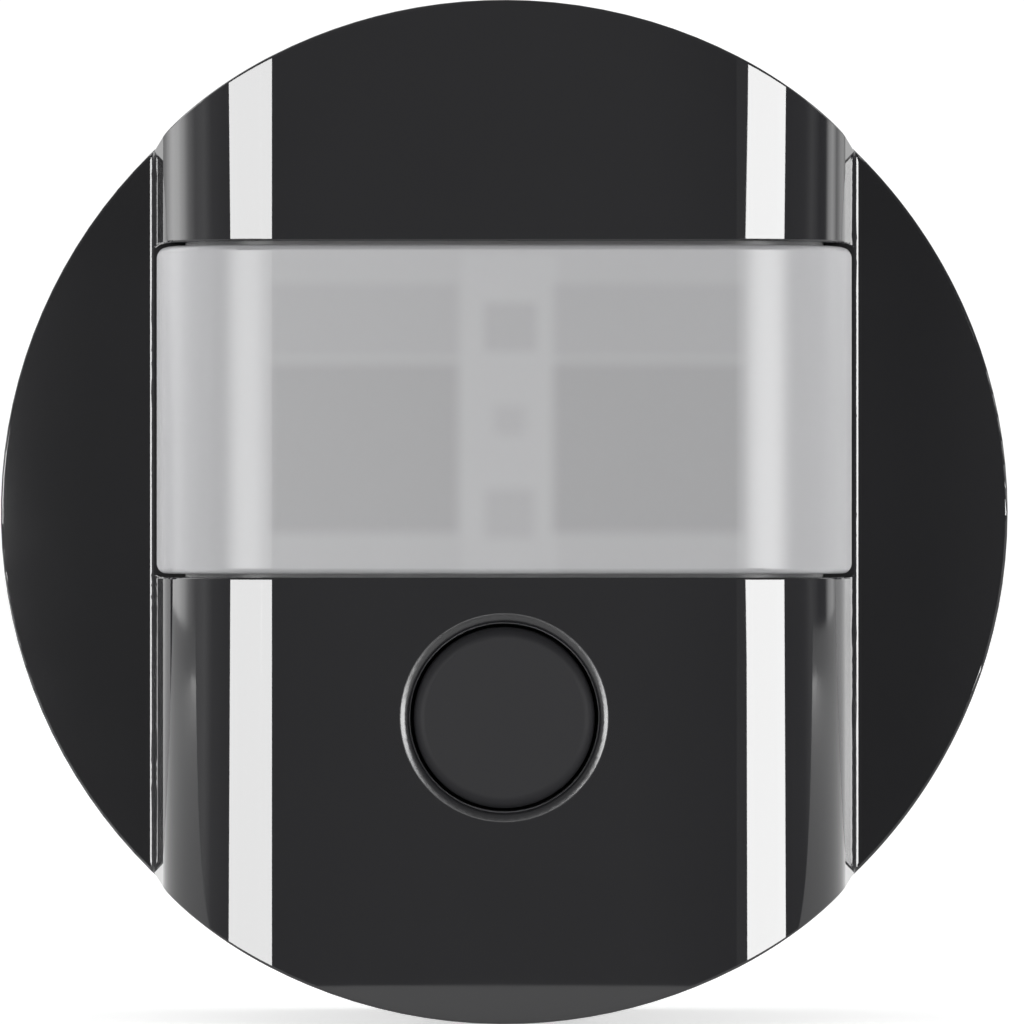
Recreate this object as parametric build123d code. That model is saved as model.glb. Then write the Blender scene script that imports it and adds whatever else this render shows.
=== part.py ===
from build123d import *
import os
from math import cos, radians, sqrt, tan

# Motion sensor light switch for a round switch frame, with its mains body in one piece with its head.
# It is modelled face up: X to the right, Y up the face, Z out of the wall. Millimetres.
# The wall ring seats at Z = 0. The finished pieces are turned to look along -Y, with +Z up.

# Round face plate
disc_d = 59.5
disc_edge_z = 9.0
disc_dome = 0.06
disc_wall = 1.8
skirt_wall = 1.6
skirt_end_z = 0.6
rim_round = 0.15
snap_bead = 0.4
snap_bead_z = 1.0
snap_bead_h = 0.6

# Raised band over the plate
band_half_width = 20.7
band_height = 12.0
band_draft = 7.0
band_shoulder = 6.6
band_crown = 0.12
band_wall = 1.8
band_end_inset = 0.02
band_end_draft = 0.25
band_end_round = 0.15
foot_round = 0.25
rib_depth = 2.4
rib_thickness = 1.2
rib_y = 19.5
skirt_rib_depth = 1.0
skirt_rib_angles = (0, 38, 142, 180, 218, 322)

# Lens in the band
lens_low_y = -3.6
lens_high_y = 15.5
lens_side_step = 0.25
lens_foot_z = 9.5
lens_corner = 0.6
lens_wall = 0.9
lens_gap = 0.2
lens_seat_gap = 0.05
lens_rim = 0.9
lens_edge_round = 0.35
window_edge_round = 0.12
flute_pitch = 2.65
flute_width = 2.35
flute_depth = 0.22
flute_count = 4

# White mask behind the lens
mask_gap = 0.15
mask_wall = 0.8
mask_bar_half = 2.8
mask_shoulder = 7.2
mask_rows = ((-1.2, 8.5), (9.0, 13.2))
mask_rib = 0.9
mask_ledge_z = 11.6

# Button below the lens
button_bore_d = 10.9
button_mouth_round = 0.55
button_gap = 0.2
button_top_round = 0.65
button_proud = 0.05
button_travel = 0.5
button_wall = 0.9
button_top_wall = 2.0
button_lip = 0.75
button_lip_h = 1.0
button_stop_gap = 0.05
collar_wall = 1.5
collar_rim_gap = 0.45
collar_end_z = 14.4
stem_d = 3.8
stem_clearance = 0.2
contact_gap = 0.03

# Return spring of the button
spring_wire_d = 0.5
spring_d = 6.2
spring_turns = 4.5
spring_end_gap = 0.05

# Three spots behind the central bar of the mask
infrared_spot_y = 10.7
daylight_spot_y = 5.3
led_spot_y = -0.1
infrared_well_w = 3.2
infrared_well_h = 3.0
daylight_well_d = 2.0
light_guide_d = 2.6
guide_clearance = 0.15

# Boards
board_t = 1.2
control_board_z = 3.0
control_board_inset = 1.3
power_board_z = -8.0
power_board_t = 1.6
power_board_gap = 1.1

# Momentary switch
switch_side = 6.0
switch_body_h = 3.5
plunger_d = 3.4
plunger_h = 1.5
plunger_hidden = 1.0
plunger_clearance = 0.1
switch_well = plunger_hidden + button_travel + plunger_clearance

# Infrared detectors
can_d = 8.2
can_h = 3.6
can_bevel = 0.5
can_flange = 0.5
can_flange_t = 0.5
pyro_x = 7.9
pyro_y = 6.0
pyro_z = 9.3
pyro_tilt = 22.0
pyro_lead_d = 0.45
pyro_lead_r = 2.5
filter_w = 4.6
filter_h = 3.4
filter_t = 0.5
filter_clearance = 0.1

# Moulding that carries the optics
carrier_z = 6.0
carrier_t = 1.2
carrier_side_inset = 2.0
carrier_reach = 1.9
carrier_button_reach = 6.9
carrier_round = 2.0
tower_half = 2.6
tower_gap = 0.1
pocket_wall = 0.7
button_tower_d = 13.0
button_tower_wall = 1.4
button_tower_h = 3.6

# Setting dials under the cover
dial_places = {"time": (-22.9, 4.2), "lux": (-22.9, -4.2), "range": (22.9, 0.0)}
dial_body_side = 5.0
dial_body_h = 2.0
dial_floor = 0.6
dial_d = 3.6
dial_clearance = 0.1
dial_proud = 0.6
dial_slot_w = 0.7
dial_slot_depth = 0.5

# Chassis
flange_gap = 0.25
flange_t = 2.0
flange_groove = 0.35
flange_groove_h = 1.0
floor_z = 0.4
neck_d = 50.0
neck_wall = 1.6
neck_depth = 6.0
neck_relief = 0.3
post_d = 4.6
post_depth = 3.0
board_post_y = 17.0
board_post_d = 4.0

# Spring clips on the neck
clip_t = 0.35
clip_w = 8.0
clip_bulge = 1.0
clip_clearance = 0.1
clip_pocket = 0.6

# Rear housing
housing_step = 0.5
housing_rib_w = 1.0
housing_rib_proud = 0.4
housing_rib_count = 8
housing_depth = 28.0
housing_wall = 1.6
housing_round = 1.4
housing_lip = 2.6
housing_lip_wall = 1.2
housing_clearance = 0.2
housing_seam = 0.05
housing_screw_inset = 5.8
pillar_d = 5.4
pillar_end_z = -14.0
pillar_shoulder_d = 7.0
column_d = 6.2
vent_w = 1.0
vent_length = 8.0
vent_pitch = 2.6
vent_count = 5
vent_y = 11.0

# Plug-in terminals
terminal_x = (-10.4, -3.6, 3.6, 10.4)
terminal_y = -12.2
wire_bore_d = 2.2
wire_bore_length = 5.0
wire_funnel_d = 3.8
wire_funnel_depth = 1.0
terminal_half_width = 18.0
terminal_high_y = -8.4
terminal_rim_gap = 0.3
terminal_top_z = -13.0
terminal_roof = 2.0
terminal_ledge = 0.9
terminal_gap = 0.15
terminal_wall = 1.2
chamber_x0 = 1.2
chamber_x1 = 12.6
chamber_low_y = -18.4
contact_w = 3.2
contact_t = 0.8
wire_clearance = 0.05
leaf_t = 0.3
leaf_x0 = 2.4
leaf_x1 = 11.3
leaf_slit = 1.2
key_x = 7.0
key_y = -16.6
key_w = 4.6
key_h = 2.6
key_clearance = 0.12
key_proud = 0.3
key_flange = 0.5
key_flange_t = 1.0

# Screws
carrier_screw_inset = 4.2
carrier_screw_low_y = -14.5
carrier_screw_high_y = 21.2
carrier_screw_d = 2.0
housing_screw_d = 2.2
screw_clearance = 0.05
screw_hole_clearance = 0.15
screw_head_d = 3.9
screw_head_h = 1.5
screw_recess_d = 1.6
screw_recess_depth = 0.8

# Plug between the boards
plug_x = -13.5
plug_length = 12.0
plug_w = 2.5
plug_pins = 6
pin_side = 0.6
socket_wall = 0.5
socket_depth = 6.5

# Sizes that follow from those above
disc_r = disc_d / 2
skirt_inner_r = disc_r - skirt_wall
flange_d = 2 * (skirt_inner_r - flange_gap)
control_board_d = flange_d - 2 * control_board_inset
band_top_z = disc_edge_z + band_height
control_top_z = control_board_z + board_t
power_top_z = power_board_z + power_board_t
carrier_screw_hole_d = carrier_screw_d + 2 * screw_hole_clearance
carrier_top_z = carrier_z + carrier_t
lens_half_width = band_half_width - lens_side_step
button_y = lens_low_y - lens_rim - collar_rim_gap - collar_wall - button_bore_d / 2
lens_rim_inset = band_wall + lens_seat_gap
lens_hollow_inset = lens_rim_inset + lens_wall
mask_inset = lens_wall + mask_gap
mask_open_half = band_half_width - mask_shoulder
mask_low_y = lens_low_y + lens_wall + mask_gap
mask_high_y = lens_high_y - lens_wall - mask_gap
carrier_half_width = band_half_width - carrier_side_inset
carrier_low_y = button_y - carrier_button_reach
carrier_high_y = lens_high_y + carrier_reach
carrier_screw_x = carrier_half_width - carrier_screw_inset
carrier_screw_places = (
    (-carrier_screw_x, carrier_screw_low_y),
    (carrier_screw_x, carrier_screw_low_y),
    (0.0, carrier_screw_high_y),
)
can_flange_d = can_d + 2 * can_flange
switch_top_z = control_top_z + switch_body_h
plunger_top_z = switch_top_z + plunger_h
button_d = button_bore_d - 2 * button_gap
button_top_z = band_top_z + button_proud
button_ceiling_z = button_top_z - button_top_wall
button_lip_z = collar_end_z - button_stop_gap - button_lip_h
button_tower_top_z = carrier_top_z + button_tower_h
neck_r = neck_d / 2
housing_d = neck_d - 2 * housing_step
housing_inner_r = housing_d / 2 - housing_wall
housing_screw_x = neck_r - housing_screw_inset
power_board_d = 2 * (housing_inner_r - power_board_gap)
terminal_r = housing_inner_r - terminal_rim_gap
chamber_r = terminal_r - terminal_wall
housing_back_z = -housing_depth
housing_inside_z = housing_back_z + housing_wall
chamber_low_z = housing_back_z + wire_funnel_depth + wire_bore_length
chamber_high_z = terminal_top_z - terminal_roof
contact_low_y = terminal_y + wire_bore_d / 2 + wire_clearance
key_flange_z = chamber_low_z + housing_seam

parts = {}


# Shared shapes
def dome_z(radius):
    """Height of the domed face plate at a radius."""
    return disc_edge_z + disc_dome * (1 - (radius / disc_r) ** 2)


def domed_disc(radius, low, sink, edge_round=0.0):
    """Round solid under the domed face, sunk by some depth below the outer face."""
    edge = dome_z(radius) - sink
    middle = dome_z(radius / 2) - sink
    apex = dome_z(0) - sink
    outline = Polyline((0, apex), (0, low), (radius, low), (radius, edge))
    dome = ThreePointArc((radius, edge), (radius / 2, middle), (0, apex))
    half = make_face(Curve() + [outline, dome])
    if edge_round:
        corner = half.vertices().sort_by_distance((radius, edge))[0]
        half = fillet(corner, edge_round)
    return revolve(Plane.XZ * half, Axis.Z)


def half_width_at(z, inset=0.0):
    """Half width of the band's outer wall at a height, or of a wall inset from it."""
    slope = radians(band_draft)
    return band_half_width - inset / cos(slope) - (z - disc_edge_z) * tan(slope)


def band_end_r(z):
    """Radius of the two ends of the band at a height."""
    return disc_r - band_end_inset - (z - skirt_end_z) * tan(radians(band_end_draft))


def band_section(inset, low):
    """Section across the band in X and Z, inset from its outer face and cut off below."""
    top = band_top_z - inset
    foot = half_width_at(low, inset)
    head = half_width_at(top, inset)
    sides = Polyline((-head, top - band_crown), (-foot, low), (foot, low), (head, top - band_crown))
    crown = ThreePointArc((-head, top - band_crown), (0, top), (head, top - band_crown))
    section = make_face(Curve() + [sides, crown])
    corners = section.vertices().sort_by(Axis.Y)[-2:]
    return fillet(corners, band_shoulder - inset)


def band_solid(inset, low_z, low_y, high_y):
    """Length of the band's section from one Y to another."""
    section = Plane.XZ.offset(-high_y) * band_section(inset, low_z)
    return extrude(section, high_y - low_y, dir=(0, -1, 0))


def block(x0, x1, y0, y1, z0, z1):
    """Box given by its faces."""
    centre = ((x0 + x1) / 2, (y0 + y1) / 2, (z0 + z1) / 2)
    return Pos(*centre) * Box(abs(x1 - x0), abs(y1 - y0), abs(z1 - z0))


def block_at(x, y, width, height, z0, z1):
    """Box given by its middle, its two sides and its two levels."""
    return block(x - width / 2, x + width / 2, y - height / 2, y + height / 2, z0, z1)


def rod(d, z0, z1, x=0.0, y=0.0):
    """Round bar along Z."""
    return Pos(x, y, (z0 + z1) / 2) * Cylinder(d / 2, abs(z1 - z0))


def tube(outer_d, inner_d, z0, z1, x=0.0, y=0.0):
    return rod(outer_d, z0, z1, x, y) - rod(inner_d, z0 - 1, z1 + 1, x, y)


def rounded_plate(half_width, low_y, high_y, corner, z0, z1):
    """Plate with rounded corners, seen from the front."""
    outline = Pos(0, (low_y + high_y) / 2) * RectangleRounded(2 * half_width, high_y - low_y, corner)
    return Pos(0, 0, z0) * extrude(outline, z1 - z0)


def keep(name, *pieces):
    """Turn the pieces into the upright frame and keep them under a node's name."""
    parts[name] = [Rotation(90, 0, 0) * piece for piece in pieces]


# Front cover
def on_band_end(edge):
    """True for the edges round the two ends of the band, apart from those at its bottom."""
    points = [edge.position_at(t) for t in (0.0, 0.25, 0.5, 0.75, 1.0)]
    on_end = all(abs(sqrt(p.X**2 + p.Y**2) - band_end_r(p.Z)) < 0.01 for p in points)
    return on_end and points[2].Z > skirt_end_z + 0.01


def on_band_foot(edge):
    """True for the long edges where the band's walls meet the face plate."""
    middle = edge.position_at(0.5)
    low = middle.Z < disc_edge_z + disc_dome
    return low and edge.length > disc_r and abs(abs(middle.X) - band_half_width) < 0.5


def cover_outside():
    prism = band_solid(0, skirt_end_z, -disc_r, disc_r)
    cone = Cone(band_end_r(skirt_end_z), band_end_r(band_top_z), band_top_z - skirt_end_z)
    band = prism & Pos(0, 0, (skirt_end_z + band_top_z) / 2) * cone
    band = fillet([e for e in band.edges() if on_band_end(e)], band_end_round)
    cover = domed_disc(disc_r, skirt_end_z, 0, rim_round) + band
    return fillet([e for e in cover.edges() if on_band_foot(e)], foot_round)


def cover_ribs():
    """Two ribs across the band's hollow, and short ribs in the skirt that rest on the chassis."""
    ribs = []
    for y in (-rib_y, rib_y):
        outer = band_solid(band_wall - 0.2, disc_edge_z, y - rib_thickness / 2, y + rib_thickness / 2)
        inset = band_wall + rib_depth
        inner = band_solid(inset, disc_edge_z - 1, y - rib_thickness, y + rib_thickness)
        ribs.append(outer - inner)
    rib_x = skirt_inner_r - skirt_rib_depth
    rib_top_z = disc_edge_z - disc_wall + 0.3
    for angle in skirt_rib_angles:
        rib = block(rib_x, skirt_inner_r + 0.3, -rib_thickness / 2, rib_thickness / 2, flange_t, rib_top_z)
        ribs.append(Rotation(0, 0, angle) * rib)
    return ribs


def lens_window():
    low_y = lens_low_y - lens_gap
    high_y = lens_high_y + lens_gap
    corner = lens_corner + lens_gap
    return rounded_plate(
        band_half_width + lens_gap, low_y, high_y, corner, lens_foot_z - lens_gap, band_top_z + 1
    )


def on_band_face(point):
    """True if a point lies on the band's outer wall, its shoulder or its crown."""
    outline = band_section(0, skirt_end_z).wire()
    return outline.distance_to(Vector(point.X, point.Z, 0)) < 0.005


def arched_edges(piece, low_y, high_y):
    """The edges that run across the band's outer face at either of two places along it."""
    found = []
    for edge in piece.edges():
        points = [edge.position_at(t) for t in (0.0, 0.5, 1.0)]
        on_side = any(all(abs(p.Y - y) < 0.001 for p in points) for y in (low_y, high_y))
        if on_side and all(on_band_face(p) for p in points):
            found.append(edge)
    return found


def on_button_mouth(edge):
    """True for the edge of the button's bore in the top of the band."""
    points = [edge.position_at(t) for t in (0.0, 0.5, 1.0)]
    on_bore = all(abs(sqrt(p.X**2 + (p.Y - button_y) ** 2) - button_bore_d / 2) < 0.01 for p in points)
    return on_bore and points[1].Z > band_top_z - 2 * band_crown


def front_cover():
    cover = cover_outside()
    cover -= domed_disc(skirt_inner_r, skirt_end_z, disc_wall)
    hollow = band_solid(band_wall, skirt_end_z, -disc_r, disc_r)
    cover -= hollow & rod(disc_d - 2 * band_wall, skirt_end_z, band_top_z)
    for rib in cover_ribs():
        cover += rib
    cover -= lens_window()
    cover = fillet(
        arched_edges(cover, lens_low_y - lens_gap, lens_high_y + lens_gap), window_edge_round
    )
    collar_d = button_bore_d + 2 * collar_wall
    cover += rod(collar_d, collar_end_z, band_top_z - band_wall + 0.3, 0, button_y)
    cover -= rod(button_bore_d, collar_end_z - 1, band_top_z + 1, 0, button_y)
    cover = fillet([e for e in cover.edges() if on_button_mouth(e)], button_mouth_round)
    low_z = snap_bead_z - snap_bead_h / 2
    bead_inner_d = 2 * (skirt_inner_r - snap_bead)
    return cover + tube(2 * skirt_inner_r + 0.2, bead_inner_d, low_z, low_z + snap_bead_h)


keep("front_cover", front_cover())


# Lens and the mask behind it
def fresnel_lens():
    """Tray that fills the window, with a thin rim that bears against the inside of the band."""
    shell = band_solid(0, lens_foot_z, lens_low_y, lens_high_y)
    shell &= rounded_plate(
        lens_half_width, lens_low_y, lens_high_y, lens_corner, lens_foot_z, band_top_z + 1
    )
    rim_low_y = lens_low_y - lens_rim
    rim_high_y = lens_high_y + lens_rim
    shell = fillet(arched_edges(shell, lens_low_y, lens_high_y), lens_edge_round)
    lens = shell + band_solid(lens_rim_inset, carrier_top_z + lens_seat_gap, rim_low_y, rim_high_y)
    lens -= band_solid(lens_hollow_inset, carrier_top_z - 1, rim_low_y - 1, rim_high_y + 1)
    tray_foot_z = lens_foot_z + lens_wall
    lens -= band_solid(lens_wall, tray_foot_z, lens_low_y + lens_wall, lens_high_y - lens_wall)
    for flute in lens_flutes():
        lens -= flute
    return lens


def lens_flutes():
    """Shallow grooves inside the lens, one for each of its segments."""
    radius = (flute_width**2 / 4 + flute_depth**2) / (2 * flute_depth)
    inside_z = band_top_z - lens_wall
    flutes = []
    for row_low, row_high in mask_rows:
        for side in (-1, 1):
            for n in range(flute_count):
                x = side * (mask_bar_half + (n + 0.5) * flute_pitch)
                place = Pos(x, (row_low + row_high) / 2, inside_z + flute_depth - radius)
                flutes.append(place * Rotation(90, 0, 0) * Cylinder(radius, row_high - row_low))
    return flutes


def spot_holes(z0, z1):
    """The three holes of the central bar, from the infrared receiver down to the light guide."""
    infrared = block_at(0, infrared_spot_y, infrared_well_w, infrared_well_h, z0, z1)
    daylight = rod(daylight_well_d, z0, z1, 0, daylight_spot_y)
    guide = rod(light_guide_d + 2 * guide_clearance, z0, z1, 0, led_spot_y)
    return infrared, daylight, guide


def lens_mask():
    """Arched white frame on two legs, with a window for every row of the lens and a bar between."""
    leg_inset = lens_hollow_inset + mask_gap
    mask = band_solid(mask_inset, mask_ledge_z, mask_low_y, mask_high_y)
    mask += band_solid(leg_inset, carrier_top_z, mask_low_y, mask_high_y)
    low_y = mask_low_y - 1
    high_y = mask_high_y + 1
    mask -= band_solid(mask_inset + mask_wall, mask_ledge_z + mask_wall, low_y, high_y)
    mask -= band_solid(leg_inset + mask_wall, carrier_top_z - 1, low_y, high_y)
    window_z = band_top_z - band_shoulder + mask_wall
    side_x = mask_open_half + mask_rib
    side_z = mask_ledge_z + 2 * mask_wall
    for row_low, row_high in mask_rows:
        for side in (-1, 1):
            x0 = side * mask_bar_half
            x1 = side * mask_open_half
            mask -= block(x0, x1, row_low, row_high, window_z, band_top_z)
            mask -= block(side * side_x, side * disc_r, row_low, row_high, side_z, band_top_z)
    for hole in spot_holes(window_z, band_top_z):
        mask -= hole
    return mask


keep("fresnel_lens", fresnel_lens())
keep("lens_mask", lens_mask())


# Button with its spring and switch
def push_button():
    cap = rod(button_d, button_lip_z, button_top_z, 0, button_y)
    cap = fillet(cap.edges().group_by(Axis.Z)[-1], button_top_round)
    lip = rod(button_d + 2 * button_lip, button_lip_z, button_lip_z + button_lip_h, 0, button_y)
    hollow = rod(button_d - 2 * button_wall, button_lip_z - 1, button_ceiling_z, 0, button_y)
    stem = rod(stem_d, plunger_top_z + contact_gap, button_ceiling_z + 0.5, 0, button_y)
    return cap + lip - hollow + stem


def button_spring():
    low = button_tower_top_z + spring_wire_d / 2 + spring_end_gap
    high = button_ceiling_z - spring_wire_d / 2 - spring_end_gap
    helix = Helix((high - low) / spring_turns, high - low, spring_d / 2)
    wire = Plane(origin=helix @ 0, z_dir=helix % 0) * RegularPolygon(spring_wire_d / 2, 8)
    return Pos(0, button_y, low) * sweep(wire, path=helix, is_frenet=True)


def switch_body():
    body = block_at(0, button_y, switch_side, switch_side, control_top_z, switch_top_z)
    body = chamfer(body.edges().filter_by(Axis.Z), 0.6)
    well_d = plunger_d + 2 * plunger_clearance
    return body - rod(well_d, switch_top_z - switch_well, switch_top_z + 1, 0, button_y)


def switch_plunger():
    plunger = rod(plunger_d, switch_top_z - plunger_hidden, plunger_top_z, 0, button_y)
    return chamfer(plunger.edges().group_by(Axis.Z)[-1], 0.2)


keep("push_button", push_button())
keep("button_spring", button_spring())
keep("switch_body", switch_body())
keep("switch_plunger", switch_plunger())


# Infrared detectors, tilted outwards
def pyro_place(side):
    return Pos(side * pyro_x, pyro_y, pyro_z) * Rotation(0, side * pyro_tilt, 0)


def pyro_sensor(side):
    place = pyro_place(side)
    can = rod(can_d, 0, can_h)
    can = chamfer(can.edges().group_by(Axis.Z)[-1], can_bevel)
    can += rod(can_flange_d, 0, can_flange_t)
    can -= block_at(0, 0, filter_w, filter_h, can_h - filter_t, can_h + 1)
    can = place * can
    above_board = block_at(side * pyro_x, pyro_y, 4 * pyro_x, 4 * pyro_x, control_top_z, 3 * pyro_z)
    for angle in (0, 120, 240):
        lead = Rotation(0, 0, angle) * rod(pyro_lead_d, -pyro_z, can_flange_t / 2, pyro_lead_r, 0)
        can += (place * lead) & above_board
    return can


def pyro_filter(side):
    width = filter_w - 2 * filter_clearance
    height = filter_h - 2 * filter_clearance
    return pyro_place(side) * block_at(0, 0, width, height, can_h - filter_t, can_h - filter_clearance)


sides = {"left": -1, "right": 1}
for side_name, side in sides.items():
    keep(f"pyro_sensor_{side_name}", pyro_sensor(side))
    keep(f"pyro_filter_{side_name}", pyro_filter(side))


# Moulding that carries the optics
def screw_ears(d, z0, z1):
    return [rod(d, z0, z1, x, y) for x, y in carrier_screw_places]


def optics_carrier():
    half = carrier_half_width
    carrier = rounded_plate(half, carrier_low_y, carrier_high_y, carrier_round, carrier_z, carrier_top_z)
    ear_x, ear_y = carrier_screw_places[2]
    ear_d = screw_head_d + 1.6
    carrier += block(-ear_d / 2, ear_d / 2, carrier_high_y - 1, ear_y, carrier_z, carrier_top_z)
    for ear in screw_ears(ear_d, control_top_z, carrier_top_z):
        carrier += ear
    tower_top_z = band_top_z - mask_inset - mask_wall - tower_gap
    carrier += block(-tower_half, tower_half, mask_low_y, mask_high_y, carrier_z, tower_top_z)
    top_z = button_tower_top_z
    roof = rod(button_tower_d, top_z - button_tower_wall, top_z, 0, button_y)
    inner_d = button_tower_d - 2 * button_tower_wall
    button_tower = tube(button_tower_d, inner_d, carrier_z, top_z, 0, button_y)
    switch_hole = switch_side + 4 * stem_clearance
    carrier -= block_at(0, button_y, switch_hole, switch_hole, carrier_z - 1, carrier_top_z + 1)
    carrier += button_tower + roof
    stem_hole = stem_d + 2 * stem_clearance
    carrier -= rod(stem_hole, carrier_z - 1, top_z + 1, 0, button_y)
    for side in sides.values():
        place = pyro_place(side)
        above_plate = block_at(side * pyro_x, pyro_y, 3 * pyro_x, 3 * pyro_x, carrier_z, 3 * pyro_z)
        pocket_d = can_flange_d + 2 * guide_clearance
        boss = place * rod(pocket_d + 2 * pocket_wall, -pyro_z, can_flange_t)
        carrier += boss & above_plate
        carrier -= place * rod(pocket_d, 0, can_h)
        carrier -= place * rod(2 * pyro_lead_r + 4 * pyro_lead_d, -pyro_z, can_h)
    for hole in spot_holes(carrier_z - 1, tower_top_z + 1):
        carrier -= hole
    for hole in screw_ears(carrier_screw_hole_d, control_top_z - 1, carrier_top_z + 1):
        carrier -= hole
    return carrier


keep("optics_carrier", optics_carrier())


# What looks out through the three spots
def light_guide():
    top_z = band_top_z - mask_inset - guide_clearance
    guide = rod(light_guide_d, carrier_z - 1, top_z, 0, led_spot_y)
    foot = rod(light_guide_d + 1.4, carrier_z - 0.9, carrier_z, 0, led_spot_y)
    return guide + foot


keep("light_guide", light_guide())
keep("status_led", block_at(0, led_spot_y, 1.6, 0.8, control_top_z, control_top_z + 0.6))
keep("daylight_sensor", block_at(0, daylight_spot_y, 2.0, 1.25, control_top_z, control_top_z + 0.8))
keep("infrared_receiver", block_at(0, infrared_spot_y, 4.0, 4.0, control_top_z, carrier_z - 0.1))


# Control board
def control_board():
    board = rod(control_board_d, control_board_z, control_top_z)
    for hole in screw_ears(carrier_screw_hole_d, control_board_z - 1, control_top_z + 1):
        board -= hole
    return board


chip_places = (
    (9.0, -5.0),
    (11.5, -5.0),
    (9.0, -8.0),
    (11.5, -8.0),
    (-5.0, 13.0),
    (5.0, 13.0),
    (12.5, 12.5),
)
chips = [block_at(x, y, 1.6, 0.9, control_top_z, control_top_z + 0.7) for x, y in chip_places]

keep("control_board", control_board())
keep("microcontroller", block_at(-9.6, -6.6, 7.0, 7.0, control_top_z, control_top_z + 0.9))
keep("board_chips", *chips)


# Setting dials
def dial_body(x, y):
    top_z = control_top_z + dial_body_h
    body = block_at(x, y, dial_body_side, dial_body_side, control_top_z, top_z)
    return body - rod(dial_d + 2 * dial_clearance, control_top_z + dial_floor, top_z + 1, x, y)


def dial(x, y):
    low_z = control_top_z + dial_floor + dial_clearance
    top_z = control_top_z + dial_body_h + dial_proud
    turned = rod(dial_d, low_z, top_z, x, y)
    slot = block_at(x, y, dial_d - dial_slot_w, dial_slot_w, top_z - dial_slot_depth, top_z + 1)
    arrow = block_at(x + dial_d / 4, y, dial_slot_w, 2 * dial_slot_w, top_z - dial_slot_depth, top_z + 1)
    return turned - slot - arrow


for dial_name, (dial_x, dial_y) in dial_places.items():
    keep(f"{dial_name}_dial_body", dial_body(dial_x, dial_y))
    keep(f"{dial_name}_dial", dial(dial_x, dial_y))


# Plug between the boards
def plug_box(wall, z0, z1):
    return block_at(plug_x, 0, plug_w + 2 * wall, plug_length + 2 * wall, z0, z1)


socket_end_z = control_board_z - socket_depth


def board_socket():
    body = plug_box(socket_wall, socket_end_z, control_board_z)
    mouth = block_at(plug_x, 0, 2 * pin_side, plug_length, socket_end_z - 1, control_board_z - 1)
    return body - mouth


def board_header():
    strip_top_z = socket_end_z - 0.1
    header = plug_box(0, power_top_z, strip_top_z)
    pitch = plug_length / plug_pins
    for n in range(plug_pins):
        y = (n - (plug_pins - 1) / 2) * pitch
        header += block_at(plug_x, y, pin_side, pin_side, power_top_z, control_board_z - 2)
    return header


keep("board_socket", board_socket())
keep("board_header", board_header())


# Screws
def screw(d, head_z, length, down, x, y):
    """Pan head screw at a seat height, that runs down, or up when down is -1."""
    head = rod(screw_head_d, head_z, head_z + down * screw_head_h, x, y)
    shank = rod(d, head_z - down * length, head_z + down * 0.2, x, y)
    recess_z = head_z + down * (screw_head_h - screw_recess_depth)
    recess = rod(screw_recess_d, recess_z, head_z + down * (screw_head_h + 1), x, y)
    return head + shank - recess


def carrier_screw(x, y):
    length = carrier_top_z - flange_t + post_depth
    return screw(carrier_screw_d, carrier_top_z, length, 1, x, y)


keep("carrier_screws", *[carrier_screw(x, y) for x, y in carrier_screw_places])


# Chassis that seats on the wall ring
def clip_pocket_box(side):
    x0 = side * (neck_r - clip_pocket)
    half = clip_w / 2 + clip_clearance
    return block(x0, side * (neck_r + 1), -half, half, -neck_depth - 1, -2 * clip_pocket)


def mounting_chassis():
    chassis = rod(flange_d, 0, flange_t) - rod(neck_d - 2 * neck_wall, -1, floor_z)
    groove_z = snap_bead_z - flange_groove_h / 2
    chassis -= tube(flange_d + 1, flange_d - 2 * flange_groove, groove_z, groove_z + flange_groove_h)
    chassis -= tube(neck_d + 2 * neck_relief, neck_d, -1, neck_relief)
    chassis += tube(neck_d, neck_d - 2 * neck_wall, -neck_depth, floor_z)
    chassis -= plug_box(socket_wall + housing_clearance, -1, flange_t + 1)
    for post in screw_ears(post_d, floor_z - post_depth - 0.5, control_board_z):
        chassis += post & rod(neck_d - 0.2, -neck_depth, control_board_z)
    pilot_z = flange_t - post_depth - 0.5
    for pilot in screw_ears(carrier_screw_d + 2 * screw_clearance, pilot_z, control_board_z + 1):
        chassis -= pilot
    for side in sides.values():
        x = side * housing_screw_x
        chassis += rod(pillar_shoulder_d, power_top_z, floor_z + 0.2, x, 0)
        chassis += rod(pillar_d, pillar_end_z, power_top_z + 0.2, x, 0)
        pilot_top_z = housing_screw_top_z + 0.5
        chassis -= rod(housing_screw_d + 2 * screw_clearance, pillar_end_z - 1, pilot_top_z, x, 0)
        chassis += rod(board_post_d, power_top_z, floor_z + 0.2, 0, side * board_post_y)
        chassis -= clip_pocket_box(side)
    return chassis


def retaining_clip(side):
    """Bent spring strip that lies in its pocket and bulges out behind the wall ring."""
    inner = neck_r - clip_pocket + clip_t / 2 + 0.02
    outer = neck_r + clip_bulge - clip_t / 2
    top = -2 * clip_pocket - clip_clearance
    bottom = -neck_depth + clip_clearance
    peak = 0.6 * bottom
    line = Polyline((inner, top), (inner, top - 1.0), (outer, peak), (inner, bottom))
    strip = Plane.XZ.offset(-clip_w / 2) * trace(line, clip_t)
    clip = extrude(strip, clip_w, dir=(0, -1, 0))
    return clip if side > 0 else Rotation(0, 0, 180) * clip


housing_screw_head_z = housing_inside_z + 1.0
housing_screw_top_z = -9.5

keep("mounting_chassis", mounting_chassis())
keep("retaining_clips", *[retaining_clip(side) for side in sides.values()])


# Rear housing in the wall box
def terminal_outline(inset):
    """Outline of the terminal block, a strip of the housing's round."""
    half = terminal_half_width - inset
    high = terminal_high_y - inset
    strip = Pos(0, high - terminal_r / 2) * Rectangle(2 * half, terminal_r)
    return strip & Circle(terminal_r - inset)


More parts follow.
